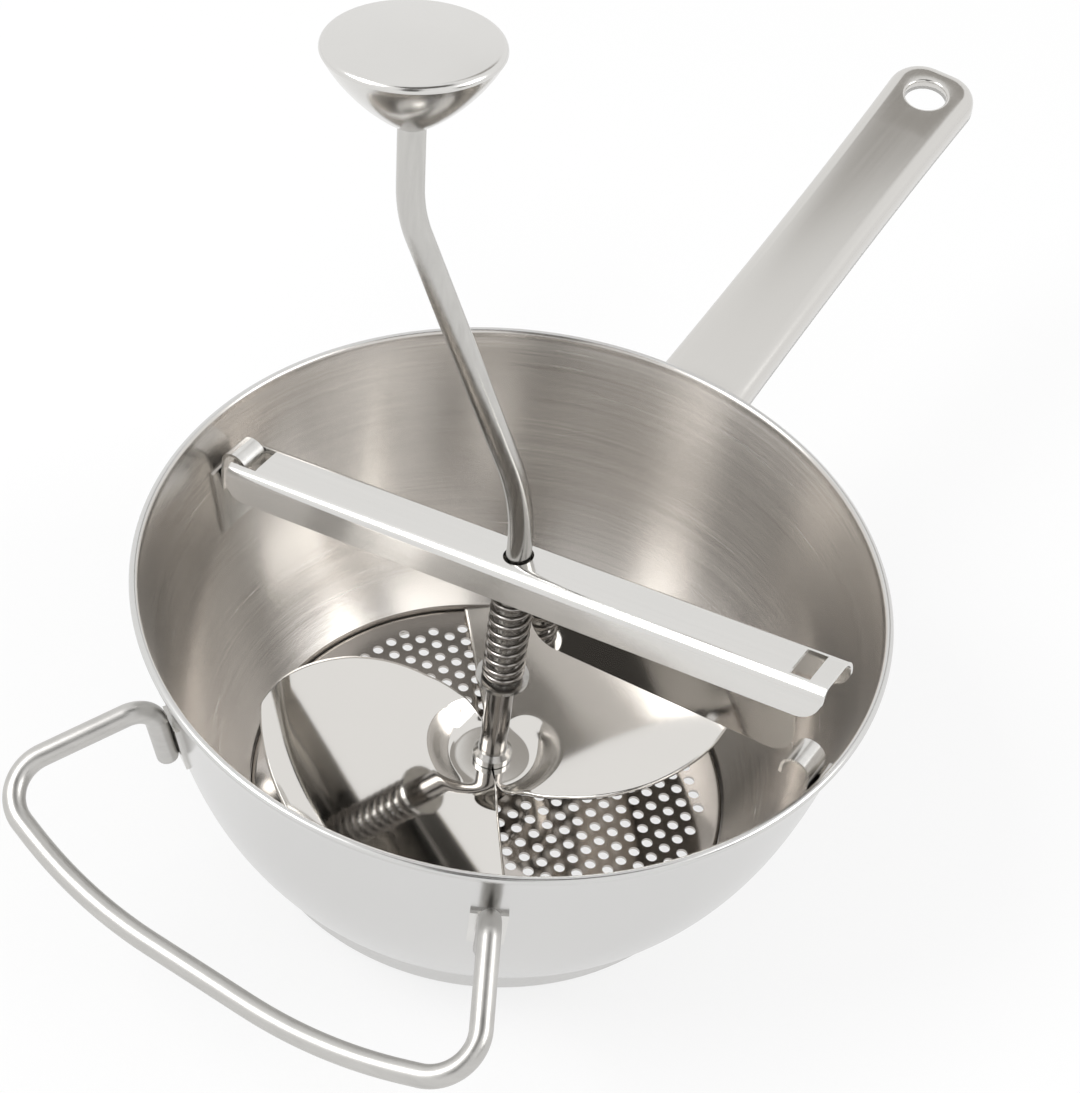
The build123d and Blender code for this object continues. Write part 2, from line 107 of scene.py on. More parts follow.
def share(name, default, description):
    """A value between nothing and all."""
    return FloatProperty(
        name=name, description=description, default=default, min=0, max=1, subtype="FACTOR"
    )


class BowlSizes(PropertyGroup):
    """Sizes of the bowl."""

    sheet: size("Sheet", 0.0012, "Thickness of the bowl's wall")
    foot_radius: size("Foot radius", 0.0817, "Outer radius of the foot ring")
    foot_flange: size("Foot flange", 0.0057, "Width of the flange that carries the disc")
    foot_round: size("Foot round", 0.0009, "Rounding of the foot's lower edge")
    lip_radius: size("Lip radius", 0.0014, "Radius of the bead along the rim")
    lip_start: turn("Lip start", -108.0, "Where the bead begins, from straight outwards")
    lip_sweep: turn("Lip sweep", 300.0, "How far round the bead goes")


class BladeSizes(PropertyGroup):
    """Sizes of the two-lobed blade."""

    sheet: size("Sheet", 0.0012, "Thickness of the blade")
    radius: size("Radius", 0.078, "Outer radius of the lobes")
    hub_height: size("Hub height", 0.019, "Height of the hub's top above the foot")
    hub_radius: size("Hub radius", 0.013, "Radius of the flat hub")
    slope: turn("Slope", 18.0, "Slope of the lobes")
    uphill: turn("Uphill", -80.0, "Direction in which the first lobe rises")
    trailing: turn("Trailing edge", 40.0, "Direction of the first lobe's lower edge")
    floor: size("Lowest top", 0.0072, "Height of the blade's top where it is lowest")
    twist_radius: size("Twist radius", 0.023, "Radius beyond which the lobes are flat")
    margin: size("Margin", 0.009, "Width of the outer margin that bends down")
    margin_drop: size("Margin drop", 0.0014, "How far the outer margin bends down")
    margin_room: size("Margin room", 0.012, "Height above the lowest top at which the margin drops in full")
    blend: size("Blend", 0.0012, "Softness of the change from a lobe to the lowest top")


class CrankSizes(PropertyGroup):
    """Sizes of the crank rod, its spring and its knob."""

    rod_radius: size("Rod radius", 0.004, "Radius of the rod")
    foot: size("Foot", 0.0086, "Height of the shaft's lower end")
    low_bend: size("Low bend", 0.1363, "Height of the lower bend")
    low_bend_radius: size("Low bend radius", 0.105, "Radius of the lower bend")
    high_bend_radius: size("High bend radius", 0.05, "Radius of the upper bend")
    offset: size("Offset", 0.044, "Distance of the knob from the shaft")
    direction: turn("Direction", 122.0, "Direction of the crank's offset")
    lean: turn("Lean", 7.4, "How far the spindle leans")
    lean_direction: turn("Lean direction", 55.0, "Direction in which the spindle leans")
    spindle_drop: size("Spindle drop", 0.028, "Distance of the upper bend below the knob")
    shoulder_gap: size("Shoulder gap", 0.0004, "Gap between the rod's shoulder and the knob")
    spindle_radius: size("Spindle radius", 0.003, "Radius of the spindle in the knob")
    spindle_length: size("Spindle length", 0.018, "Length of the spindle in the knob")
    spring_wire: size("Spring wire", 0.001, "Radius of the spring's wire")
    spring_radius: size("Spring radius", 0.006, "Radius of the spring at the middle of its wire")
    spring_seat: size("Spring seat", 0.0595, "Height of the washer that the spring stands on")
    spring_low: size("Spring low", 0.0608, "Height of the spring's lowest turn")
    spring_high: size("Spring high", 0.1087, "Height of the spring's highest turn")
    spring_turns: IntProperty(name="Spring turns", description="Open turns", default=10, min=2)
    spring_closed: size("Closed rise", 0.00205, "Rise of the closed turn at each end of the spring")
    knob_radius: size("Knob radius", 0.0252, "Radius of the knob's cap")
    knob_base: size("Knob base", 0.2755, "Height of the knob's underside")
    knob_depth: size("Knob depth", 0.0225, "Depth of the knob's cup")
    knob_dome: size("Knob dome", 0.0035, "Rise of the knob's cap above the cup")
    knob_neck: size("Knob neck", 0.0049, "Radius of the cup's lower end")
    knob_bore: size("Knob bore", 0.0044, "Radius of the hole in the cup for the bush")
    knob_sheet: size("Knob sheet", 0.001, "Thickness of the knob's sheet")
    knob_edge: size("Knob edge", 0.002, "Rounding of the cap's edge")
    knob_crown: size("Knob crown", 0.0007, "How much the dome's curve falls towards the edge")


class BarSizes(PropertyGroup):
    """Sizes of the crossbar."""

    length: size("Length", 0.2176, "Length of the crossbar between equal ends")
    free_reach: size("Free reach", 0.003, "How much longer the crossbar's free end is")
    flat: size("Flat", 0.0091, "Width of the crossbar's flat top")
    corner: size("Corner", 0.0052, "Rounding along the crossbar's folds")
    depth: size("Depth", 0.0132, "Depth of the upright wall")
    near_depth: size("Near depth", 0.01, "Depth of the flared wall")
    flare: turn("Flare", 22.0, "How far the near wall leans outwards")
    sheet: size("Sheet", 0.0012, "Thickness of the crossbar's sheet")
    edge: size("Edge", 0.0002, "Rounding of the sheet's edges")
    end_corner: size("End corner", 0.008, "Rounding of the walls' lower ends")
    height: size("Height", 0.11454, "Height of the crossbar's top on the shaft's axis")
    tilt: turn("Tilt", 10.4, "Tilt of the crossbar at rest")
    hole_radius: size("Hole radius", 0.0049, "Radius of the shaft's hole")
    slot_place: size("Slot place", 0.1023, "Distance of a slot's middle from the shaft")
    slot_length: size("Slot length", 0.007, "Size of a slot along the crossbar")
    slot_width: size("Slot width", 0.0116, "Size of a slot across the crossbar")
    hole_frame: size("Hole frame", 0.00637, "Half the side of the square that the hole is set into")


class HandleSizes(PropertyGroup):
    """Sizes of the long handle and of the wire handle."""

    root_radius: size("Root radius", 0.1194, "Distance of the handle's root from the bowl's axis")
    root_height: size("Root height", 0.0998, "Height of the handle's top at its root")
    direction: turn("Direction", 1.5, "Direction of the handle")
    length: size("Length", 0.1905, "Length of the handle")
    root_width: size("Root width", 0.033, "Width of the handle at its root")
    waist_width: size("Waist width", 0.0314, "Width of the handle at its waist")
    end_width: size("End width", 0.0344, "Width of the handle near its end")
    waist_place: size("Waist place", 0.09, "Distance of the waist from the root")
    depth: size("Depth", 0.0085, "Depth of the handle's rim")
    slope: turn("Slope", 8.5, "Rise of the handle")
    sheet: size("Sheet", 0.0012, "Thickness of the handle's sheet")
    corner: size("Corner", 0.005, "Rounding along the handle's upper edge")
    end_corner: size("End corner", 0.013, "Rounding of the handle's end")
    hole_radius: size("Hole radius", 0.0078, "Radius of the hanging hole")
    hole_round: size("Hole round", 0.0011, "Rounding of the hanging hole's lip")
    hole_depth: size("Hole depth", 0.0042, "Depth of the hanging hole's lip")
    hole_place: size("Hole place", 0.173, "Distance of the hanging hole from the root")
    wall_gap: size("Wall gap", 0.0002, "Gap between handle and bowl")
    wire_radius: size("Wire radius", 0.0035, "Radius of the wire handle's rod")
    wire_turn: turn("Wire turn", -0.9, "How far the wire handle is turned around the bowl")
    wire_angle: turn("Wire angle", 31.5, "Angle between the wire handle's middle and a leg")
    wire_end: size("Wire end", 0.0008, "Rounding of the wire handle's ends")
    bracket: size("Bracket", 0.0012, "Thickness of the brackets under the wire's legs")


class MillFinishes(PropertyGroup):
    """Colours of the mill's finishes."""

    bowl_inside: tint("Bowl inside", (0.66, 0.635, 0.605), "Brushed steel inside the bowl")
    bowl_outside: tint("Bowl outside", (0.66, 0.655, 0.645), "Satin steel outside the bowl")
    mirror: tint("Mirror", (0.72, 0.70, 0.67), "Polished steel of blade and plate")
    polished: tint("Polished", (0.70, 0.69, 0.67), "Polished steel of crossbar and knob")
    rod: tint("Rod", (0.55, 0.54, 0.52), "Drawn steel of the rods")
    spring: tint("Spring", (0.38, 0.36, 0.34), "Steel of the spring")
    disc: tint("Disc", (0.52, 0.49, 0.46), "Rolled steel of the sieve disc")
    handle: tint("Handle", (0.66, 0.645, 0.62), "Satin steel of the long handle")
    bush: tint("Bush", (0.05, 0.05, 0.05), "Plastic of the knob's bush")


class StageSettings(PropertyGroup):
    """The studio: camera, lamps and floor."""

    camera_place: spot("Camera", (-0.5299, -0.2793, 0.7165), "Where the camera stands")
    camera_aim: spot("Aim", (0.0562, 0.0219, 0.06), "What the camera looks at")
    lamp_aim: spot("Lamp aim", (0, 0, 0.1), "What lamps and cards face")
    camera_roll: turn("Roll", 8.107, "How far the camera leans")
    lens: FloatProperty(name="Lens", description="Focal length in millimetres", default=91.01)
    sensor: FloatProperty(name="Sensor", description="Sensor width in millimetres", default=36.0)
    backdrop: tint("Backdrop", (1.0, 1.0, 1.0), "Colour of the backdrop")
    floor: tint("Floor", (0.93, 0.93, 0.93), "Colour of the floor")
    floor_half: size("Floor half", 6.0, "Half the side of the floor")
    floor_drop: size("Floor drop", 0.0005, "Gap between floor and foot")
    ambient: share("Ambient", 0.75, "Strength of the light from all around")
    shadow: share("Shadow", 0.25, "How much of the floor's shading shows")


# The bowl wall's outer line: knots as radius and height, its ends' slopes in degrees and their pull
WALL_KNOTS = ((0.0817, 0.007), (0.1031, 0.042), (0.1156, 0.093), (0.1186, 0.1036))
WALL_SLOPES = (47.0, 68.0)
WALL_PULLS = (1.0241, 0.8276)
WALL_ROUNDS = 40
LIP_CENTRE = WALL_KNOTS[-1]
# The lobe's leading edge in plan: radius and direction in degrees
LEADING_EDGE = (
    (0.004, -150.0),
    (0.013, -139.0),
    (0.024, -118.0),
    (0.034, -104.0),
    (0.044, -94.0),
    (0.054, -84.0),
    (0.064, -73.0),
    (0.072, -64.0),
    (0.078, -55.0),
)
# The knob's curves: handles as shares of the cup's run and depth, the cup's inside as shares of its sheet,
# and handles as shares of the dome's radius
CUP_BOW = ((0.36, 0.22), (0.78, 0.6))
CUP_INNER = (0.9, 0.6)
DOME_BOW = (0.7, 0.35)
# The stage's dark cards are a little warm
CARD_TINT = (1.0, 0.96, 0.9)
# The wire handle on the left: heights of the leg's ends, free points up to the middle, and the bends
WIRE_LEG = (0.064, 0.0905)
WIRE_ROUTE = ((-0.1452, 0.0888, 0.0756), (-0.1566, 0.0435, 0.0658))
WIRE_BENDS = (0.008, 0.0137, 0.160)


def arc(centre, radius, start, sweep, steps):
    """Points along an arc in a plane, from a start angle through a sweep, both in degrees."""
    angles = [math.radians(start + sweep * step / steps) for step in range(steps + 1)]
    return [(centre[0] + radius * math.cos(a), centre[1] + radius * math.sin(a)) for a in angles]


def curve(knots, steps=CURVE_STEPS):
    """Points along a curve in a plane, given by one end, two handles and the other end."""
    return [(p.x, p.y) for p in interpolate_bezier(*[Vector((x, y, 0)) for x, y in knots], steps)]


def wall_pieces():
    """The wall line's curve pieces: one smooth line through its knots, settled round by round."""
    knots = [Vector(knot) for knot in WALL_KNOTS]
    spans = [after - before for before, after in zip(knots, knots[1:])]
    runs = [span.length for span in spans]
    leave, arrive = (
        Vector((math.cos(slope), math.sin(slope))) * pull
        for slope, pull in zip(map(math.radians, WALL_SLOPES), WALL_PULLS)
    )
    headings = [leave] + [span.normalized() for span in spans[1:]] + [arrive]
    for _ in range(WALL_ROUNDS):
        for i in range(1, len(spans)):
            before, after = runs[i - 1], runs[i]
            drawn = 3 * (spans[i - 1] * (after / before) + spans[i] * (before / after))
            drawn -= headings[i - 1] * after + headings[i + 1] * before
            headings[i] = drawn / (2 * (before + after))
    pieces = []
    for i, run in enumerate(runs):
        start, end = knots[i], knots[i + 1]
        pieces.append((start, start + headings[i] * run / 3, end - headings[i + 1] * run / 3, end))
    return pieces


def wall_profile(steps):
    """Points along the bowl wall's outer line, from foot to lip."""
    points = []
    for piece in wall_pieces():
        points += curve(piece, steps)[:-1]
    return points + [LIP_CENTRE]


def wall_radius(height):
    """The bowl wall's outer radius at a height."""
    return interpolated([(z, r) for r, z in wall_profile(CURVE_STEPS)], height)


def interpolated(table, place):
    """The value at a place in a table of pairs in rising order."""
    for (a, va), (b, vb) in zip(table, table[1:]):
        if place <= b:
            return va + (vb - va) * (place - a) / (b - a)
    return table[-1][1]


def knob_frame(s):
    """Where the knob stands on the crank, with its own upright along the spindle."""
    away, lean, towards = (math.radians(a) for a in (s.direction, s.lean, s.lean_direction))
    base = Vector((s.offset * math.cos(away), s.offset * math.sin(away), s.knob_base))
    aside = math.sin(lean)
    return base, Vector((aside * math.cos(towards), aside * math.sin(towards), math.cos(lean)))


def edges_of(geometry):
    """The edges in a list of mesh elements."""
    return [g for g in geometry if isinstance(g, bmesh.types.BMEdge)]


def verts_of(geometry):
    """The vertices in a list of mesh elements."""
    return [g for g in geometry if isinstance(g, bmesh.types.BMVert)]


def corners_of(edges):
    """The vertices at the ends of edges."""
    return list({v for e in edges for v in e.verts})


def circle(bm, steps, radius, place=None):
    """A ring of edges around a place."""
    made = bmesh.ops.create_circle(bm, segments=steps, radius=radius, matrix=place or Matrix())
    return list({e for v in made["verts"] for e in v.link_edges})


def facing_up(bm):
    """Turn a sheet's faces so that they point upwards on the whole."""
    bmesh.ops.recalc_face_normals(bm, faces=bm.faces)
    if sum(f.normal.z * f.calc_area() for f in bm.faces) < 0:
        bmesh.ops.reverse_faces(bm, faces=bm.faces)


def object_from(bm, name):
    """A new object in the scene from a finished mesh."""
    mesh = bpy.data.meshes.new(name)
    bm.to_mesh(mesh)
    bm.free()
    made = bpy.data.objects.new(name, mesh)
    bpy.context.scene.collection.objects.link(made)
    return made


def spun(points, steps):
    """A shape of revolution about the upright axis, from a closed line of radius and height."""
    bm = bmesh.new()
    verts = [bm.verts.new((r, 0, z)) for r, z in points]
    edges = [bm.edges.new(pair) for pair in zip(verts, verts[1:] + verts[:1])]
    bmesh.ops.spin(
        bm, geom=verts + edges, cent=(0, 0, 0), axis=(0, 0, 1), angle=FULL_TURN, steps=steps, use_merge=True
    )
    bmesh.ops.remove_doubles(bm, verts=bm.verts, dist=FINE)
    bmesh.ops.recalc_face_normals(bm, faces=bm.faces)
    return bm


def pushed(bm, loop, step):
    """Extrude an open loop of edges along a straight step; the new loop comes back."""
    made = bmesh.ops.extrude_edge_only(bm, edges=loop)["geom"]
    bmesh.ops.translate(bm, verts=verts_of(made), vec=step)
    return [e for e in edges_of(made) if e.is_boundary]


def bent_rod(bm, route, bends, radius):
    """A round rod along straight runs and bends; its last open loop comes back."""
    route = [Vector(p) for p in route]
    heading = (route[1] - route[0]).normalized()
    facing = heading.to_track_quat("Z", "Y").to_matrix().to_4x4()
    loop = circle(bm, ROD_SIDES, radius, Matrix.Translation(route[0]) @ facing)
    bmesh.ops.holes_fill(bm, edges=loop)
    place = route[0]
    for before, corner, after, bend in zip(route, route[1:], route[2:], bends):
        arriving = (corner - before).normalized()
        leaving = (after - corner).normalized()
        angle = arriving.angle(leaving)
        reach = bend * math.tan(angle / 2)
        axis = arriving.cross(leaving).normalized()
        start = corner - arriving * reach
        loop = pushed(bm, loop, start - place)
        made = bmesh.ops.spin(
            bm,
            geom=loop + corners_of(loop),
            cent=start + axis.cross(arriving) * bend,
            axis=axis,
            angle=angle,
            steps=CURVE_STEPS,
        )
        loop = edges_of(made["geom_last"])
        place = corner + leaving * reach
    return pushed(bm, loop, route[-1] - place)


def closed_rod(bm, loop, rounding):
    """Close a rod's open end and soften both of its ends."""
    bmesh.ops.holes_fill(bm, edges=loop)
    rims = [e for e in bm.edges if max(len(f.verts) for f in e.link_faces) > 4]
    bmesh.ops.bevel(bm, geom=rims, offset=rounding, affect="EDGES", segments=3, profile=0.5, material=-1)
    bmesh.ops.recalc_face_normals(bm, faces=bm.faces)


def piece_from(bm, name, materials, body, nodes, crease=CREASE):
    """Make a mesh the shown piece for its CAD nodes, riding on their body."""
    limit = math.radians(crease)
    for face in bm.faces:
        face.smooth = True
    for edge in bm.edges:
        if len(edge.link_faces) == 2 and edge.calc_face_angle() > limit:
            edge.smooth = False
    piece = object_from(bm, name)
    for material in materials:
        piece.data.materials.append(material)
    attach(piece, body)
    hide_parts(*nodes)
    return piece


def dress(material, *nodes):
    """Give CAD nodes a finish."""
    for name in nodes:
        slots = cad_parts[name].data.materials
        slots.clear()
        slots.append(material)


def thickened(piece, thickness, rim=0.0):
    """Give a sheet its thickness, inwards from the drawn face, and soften its edges if asked."""
    wall = piece.modifiers.new("Thickness", "SOLIDIFY")
    wall.thickness = thickness
    wall.offset = -1
    wall.use_even_offset = True
    if rim:
        soft = piece.modifiers.new("Edge", "BEVEL")
        soft.width = rim
        soft.segments = 2
        soft.limit_method = "ANGLE"
        soft.angle_limit = math.radians(50)
        shading = piece.modifiers.new("Shading", "WEIGHTED_NORMAL")
        shading.keep_sharp = True


def group_with(name, inputs, outputs):
    """A new shader node group with named sockets."""
    group = bpy.data.node_groups.new(name, "ShaderNodeTree")
    for kind, label, default in inputs:
        socket = group.interface.new_socket(label, in_out="INPUT", socket_type=kind)
        if default is not None:
            socket.default_value = default
    for kind, label in outputs:
        group.interface.new_socket(label, in_out="OUTPUT", socket_type=kind)
    return group, group.nodes.new("NodeGroupInput"), group.nodes.new("NodeGroupOutput")


def maths(nodes, operation, *values, vector=False):
    """A new math node with its operation, and values for the inputs after the first."""
    node = nodes.new("ShaderNodeVectorMath" if vector else "ShaderNodeMath")
    node.operation = operation
    for place, value in enumerate(values, 1):
        node.inputs[place].default_value = value
    return node


def brushed_group():
    """Fine parallel marks: noise drawn out by a stretch of the coordinates."""
    name = "Brush marks"
    if name in bpy.data.node_groups:
        return bpy.data.node_groups[name]
    group, given, result = group_with(
        name,
        (
            ("NodeSocketVector", "Place", None),
            ("NodeSocketVector", "Stretch", (1.0, 1.0, 1.0)),
            ("NodeSocketFloat", "Contrast", 1.0),
        ),
        (("NodeSocketFloat", "Marks"),),
    )
    nodes, links = group.nodes, group.links
    stretch = maths(nodes, "MULTIPLY", vector=True)
    noise = nodes.new("ShaderNodeTexNoise")
    noise.inputs["Scale"].default_value = 1.0
    noise.inputs["Detail"].default_value = 5.0
    noise.inputs["Roughness"].default_value = 0.62
    centred = maths(nodes, "SUBTRACT", 0.5)
    scaled = maths(nodes, "MULTIPLY_ADD", 1.0, 0.5)
    scaled.use_clamp = True
    links.new(given.outputs["Place"], stretch.inputs[0])
    links.new(given.outputs["Stretch"], stretch.inputs[1])
    links.new(stretch.outputs[0], noise.inputs["Vector"])
    links.new(noise.outputs["Fac"], centred.inputs[0])
    links.new(centred.outputs[0], scaled.inputs[0])
    links.new(given.outputs["Contrast"], scaled.inputs[1])
    links.new(scaled.outputs[0], result.inputs["Marks"])
    return group


def round_group():
    """Coordinates for marks that run in circles about the upright axis."""
    name = "Round places"
    if name in bpy.data.node_groups:
        return bpy.data.node_groups[name]
    group, given, result = group_with(
        name, (("NodeSocketVector", "Place", None),), (("NodeSocketVector", "Round place"),)
    )
    nodes, links = group.nodes, group.links
    flat = maths(nodes, "MULTIPLY", (1.0, 1.0, 0.0), vector=True)
    radius = maths(nodes, "LENGTH", vector=True)
    heading = maths(nodes, "NORMALIZE", vector=True)
    split_heading = nodes.new("ShaderNodeSeparateXYZ")
    split_place = nodes.new("ShaderNodeSeparateXYZ")
    climb = maths(nodes, "ADD")
    joined = nodes.new("ShaderNodeCombineXYZ")
    links.new(given.outputs["Place"], flat.inputs[0])
    links.new(given.outputs["Place"], split_place.inputs[0])
    links.new(flat.outputs[0], radius.inputs[0])
    links.new(flat.outputs[0], heading.inputs[0])
    links.new(heading.outputs[0], split_heading.inputs[0])
    links.new(radius.outputs["Value"], climb.inputs[0])
    links.new(split_place.outputs["Z"], climb.inputs[1])
    links.new(split_heading.outputs["X"], joined.inputs["X"])
    links.new(split_heading.outputs["Y"], joined.inputs["Y"])
    links.new(climb.outputs[0], joined.inputs["Z"])
    links.new(joined.outputs[0], result.inputs["Round place"])
    return group


def blank_material(name):
    """A new material with its nodes and links."""
    material = bpy.data.materials.new(name)
    material.use_nodes = True
    return material, material.node_tree.nodes, material.node_tree.links


def steel(name, colour, rough, stretch, contrast, depth, shift=0.12, grain=None, turned=(0, 0, 0)):
    """A steel finish whose marks vary its colour, gloss and relief; with a grain they run in circles."""
    if name in bpy.data.materials:
        return bpy.data.materials[name]
    material, nodes, links = blank_material(name)
    shader = nodes["Principled BSDF"]
    shader.inputs["Metallic"].default_value = 1.0
    place = nodes.new("ShaderNodeTexCoord")
    aim = nodes.new("ShaderNodeMapping")
    aim.inputs["Rotation"].default_value = [math.radians(a) for a in turned]
    links.new(place.outputs["Object"], aim.inputs["Vector"])
    source = aim.outputs[0]
    if grain:
        rounder = nodes.new("ShaderNodeGroup")
        rounder.node_tree = round_group()
        links.new(source, rounder.inputs["Place"])
        source = rounder.outputs["Round place"]
        flow = nodes.new("ShaderNodeTangent")
        flow.direction_type = "RADIAL"
        flow.axis = "Z"
        links.new(flow.outputs[0], shader.inputs["Tangent"])
        shader.inputs["Anisotropic"].default_value = grain
        shader.inputs["Anisotropic Rotation"].default_value = 0.25
    brush = nodes.new("ShaderNodeGroup")
    brush.node_tree = brushed_group()
    brush.inputs["Stretch"].default_value = stretch
    brush.inputs["Contrast"].default_value = contrast
    links.new(source, brush.inputs["Place"])
    tone = nodes.new("ShaderNodeMix")
    tone.data_type = "RGBA"
    tone.inputs["A"].default_value = [c * (1 - shift) for c in colour] + [1]
    tone.inputs["B"].default_value = [min(1, c * (1 + shift)) for c in colour] + [1]
    links.new(brush.outputs["Marks"], tone.inputs["Factor"])
    links.new(tone.outputs["Result"], shader.inputs["Base Color"])
    gloss = nodes.new("ShaderNodeMapRange")
    gloss.inputs["To Min"].default_value = rough[0]
    gloss.inputs["To Max"].default_value = rough[1]
    links.new(brush.outputs["Marks"], gloss.inputs["Value"])
    links.new(gloss.outputs["Result"], shader.inputs["Roughness"])
    relief = nodes.new("ShaderNodeBump")
    relief.inputs["Strength"].default_value = 0.5
    relief.inputs["Distance"].default_value = depth
    links.new(brush.outputs["Marks"], relief.inputs["Height"])
    links.new(relief.outputs["Normal"], shader.inputs["Normal"])
    return material


def finishes():
    """The mill's finishes by name."""
    tones = bpy.context.scene.mill_finishes
    tilt = bpy.context.scene.mill_bar.tilt
    rise = bpy.context.scene.mill_handle.slope
    look = {"bush": bush_plastic(tones.bush)}
    # Name, title, colour, range of roughness, stretch of the marks, their contrast and depth, and the rest
    for name, title, colour, rough, stretch, contrast, depth, more in (
        ("bowl_inside", "Brushed bowl", tones.bowl_inside, (0.2, 0.3), (1.2, 1.2, 900), 1.2, 4e-6,
         {"grain": 0.85, "shift": 0.09}),
        ("bowl_outside", "Satin bowl", tones.bowl_outside, (0.2, 0.26), (0.8, 0.8, 500), 0.5, 1e-6,
         {"grain": 0.3, "shift": 0.03}),
        ("mirror", "Mirror steel", tones.mirror, (0.04, 0.09), (9, 9, 9), 1.0, 4e-5, {"shift": 0.03}),
        ("polished", "Polished bar", tones.polished, (0.1, 0.18), (500, 5, 500), 0.8, 4e-6,
         {"shift": 0.05, "turned": (tilt, 0, 0)}),
        ("knob", "Polished knob", tones.polished, (0.14, 0.22), (60, 60, 60), 0.7, 1e-6, {"shift": 0.03}),
        ("rod", "Drawn rod", tones.rod, (0.14, 0.26), (420, 420, 14), 1.3, 6e-6, {}),
        ("wire", "Drawn wire", tones.rod, (0.28, 0.38), (60, 60, 300), 1.3, 2e-6, {"shift": 0.14}),
        ("spring", "Spring wire", tones.spring, (0.12, 0.24), (90, 90, 90), 1.0, 5e-6, {}),
        ("disc", "Rolled disc", tones.disc, (0.06, 0.12), (30, 500, 30), 0.7, 2e-6, {"shift": 0.06}),
        ("clip", "Clip strip", tones.polished, (0.16, 0.28), (300, 40, 40), 1.0, 6e-6, {}),
        ("handle", "Satin handle", tones.handle, (0.13, 0.2), (10, 500, 500), 0.8, 1e-6,
         {"shift": 0.03, "turned": (0, rise, 0)}),
    ):
        look[name] = steel(title, colour, rough, stretch, contrast, depth, **more)
    return look


def bush_plastic(colour):
    """Matt plastic with a faint grain."""
    name = "Bush plastic"
    if name in bpy.data.materials:
        return bpy.data.materials[name]
    material, nodes, links = blank_material(name)
    shader = nodes["Principled BSDF"]
    shader.inputs["Base Color"].default_value = [*colour, 1]
    place = nodes.new("ShaderNodeTexCoord")
    brush = nodes.new("ShaderNodeGroup")
    brush.node_tree = brushed_group()
    brush.inputs["Stretch"].default_value = (800, 800, 800)
    gloss = nodes.new("ShaderNodeMapRange")
    gloss.inputs["To Min"].default_value = 0.45
    gloss.inputs["To Max"].default_value = 0.65
    links.new(place.outputs["Object"], brush.inputs["Place"])
    links.new(brush.outputs["Marks"], gloss.inputs["Value"])
    links.new(gloss.outputs["Result"], shader.inputs["Roughness"])
    return material


class MILL_OT_bowl(Operator):
    """Spin the bowl: foot ring, curved wall and beaded rim"""

    bl_idname = "mill.bowl"
    bl_label = "Bowl"

    def execute(self, context):
        s = context.scene.mill_bowl
        look = finishes()
        lip_r, lip_z = LIP_CENTRE
        outer = wall_profile(WALL_STEPS)
        wall = [(r, z) for r, z in outer if math.hypot(r - lip_r, z - lip_z) > s.lip_radius]
        inner = [(r - s.sheet, z) for r, z in reversed(wall)]
        lip = arc(LIP_CENTRE, s.lip_radius, s.lip_start, s.lip_sweep, CURVE_STEPS)
        foot_in = s.foot_radius - s.foot_flange
        corner = (s.foot_radius - s.foot_round, s.foot_round)
        foot = [(foot_in, 0)] + arc(corner, s.foot_round, -90, 90, 2)
        seat = [(s.foot_radius - s.sheet, s.sheet), (foot_in, s.sheet)]
        bm = spun(foot + wall + lip + inner + seat, BOWL_STEPS)
        limit = lip_r - s.sheet / 2
        for face in bm.faces:
            middle = face.calc_center_median()
            outward = face.normal.x * middle.x + face.normal.y * middle.y
            under_lip = middle.z < lip_z - s.lip_radius
            face.material_index = 0 if (outward > 0 and under_lip) or middle.xy.length > limit else 1
        skins = [look["bowl_outside"], look["bowl_inside"]]
        piece_from(bm, "Bowl_Body", skins, "bowl", ["bowl"])
        return {"FINISHED"}


class MILL_OT_sieve(Operator):
    """Finish the perforated disc and its pivot"""

    bl_idname = "mill.sieve"
    bl_label = "Sieve disc"

    def execute(self, context):
        look = finishes()
        dress(look["disc"], "sieve_disc")
        dress(look["rod"], "disc_pivot")
        return {"FINISHED"}


class MILL_OT_blade(Operator):
    """Shape the two-lobed blade from a grid, one lobe turned onto the other"""

    bl_idname = "mill.blade"
    bl_label = "Blade"

    def execute(self, context):
        s = context.scene.mill_blade
        look = finishes()
        bm = bmesh.new()
        half = 0.5
        across, along = LOBE_STEPS
        grid = bmesh.ops.create_grid(bm, x_segments=across, y_segments=along, size=half)
        for vert in grid["verts"]:
            u, v = vert.co.x + half, vert.co.y + half
            radius = context.scene.mill_crank.rod_radius * (1 - u) + s.radius * u
            lead = interpolated(LEADING_EDGE, radius)
            angle = math.radians(lead + (s.trailing - lead) * v)
            vert.co = (radius * math.cos(angle), radius * math.sin(angle), self.height(s, radius, angle))
        twin = bmesh.ops.duplicate(bm, geom=bm.verts[:] + bm.edges[:] + bm.faces[:])["geom"]
        bmesh.ops.rotate(bm, verts=verts_of(twin), cent=(0, 0, 0), matrix=Matrix.Rotation(math.pi, 3, "Z"))
        facing_up(bm)
        piece = piece_from(bm, "Blade_Lobes", [look["mirror"]], "crank", ["blade"])
        thickened(piece, s.sheet)
        return {"FINISHED"}

    @staticmethod
    def height(s, radius, angle):
        """Height of the blade's top: flat hub, pressed step, tilted lobes and a margin that bends down."""
        rise = math.tan(math.radians(s.slope)) * math.cos(angle - math.radians(s.uphill))
        out = min(1.0, max(0.0, (radius - s.hub_radius) / (s.twist_radius - s.hub_radius)))
        step = out * out * (3 - 2 * out)
        top = s.hub_height + rise * radius * step
        top = (top + s.floor + math.hypot(top - s.floor, s.blend)) / 2
        edge = max(0.0, (radius - s.radius + s.margin) / s.margin)
        room = min(1.0, max(0.0, (top - s.floor) / s.margin_room))
        return top - s.margin_drop * edge * edge * room


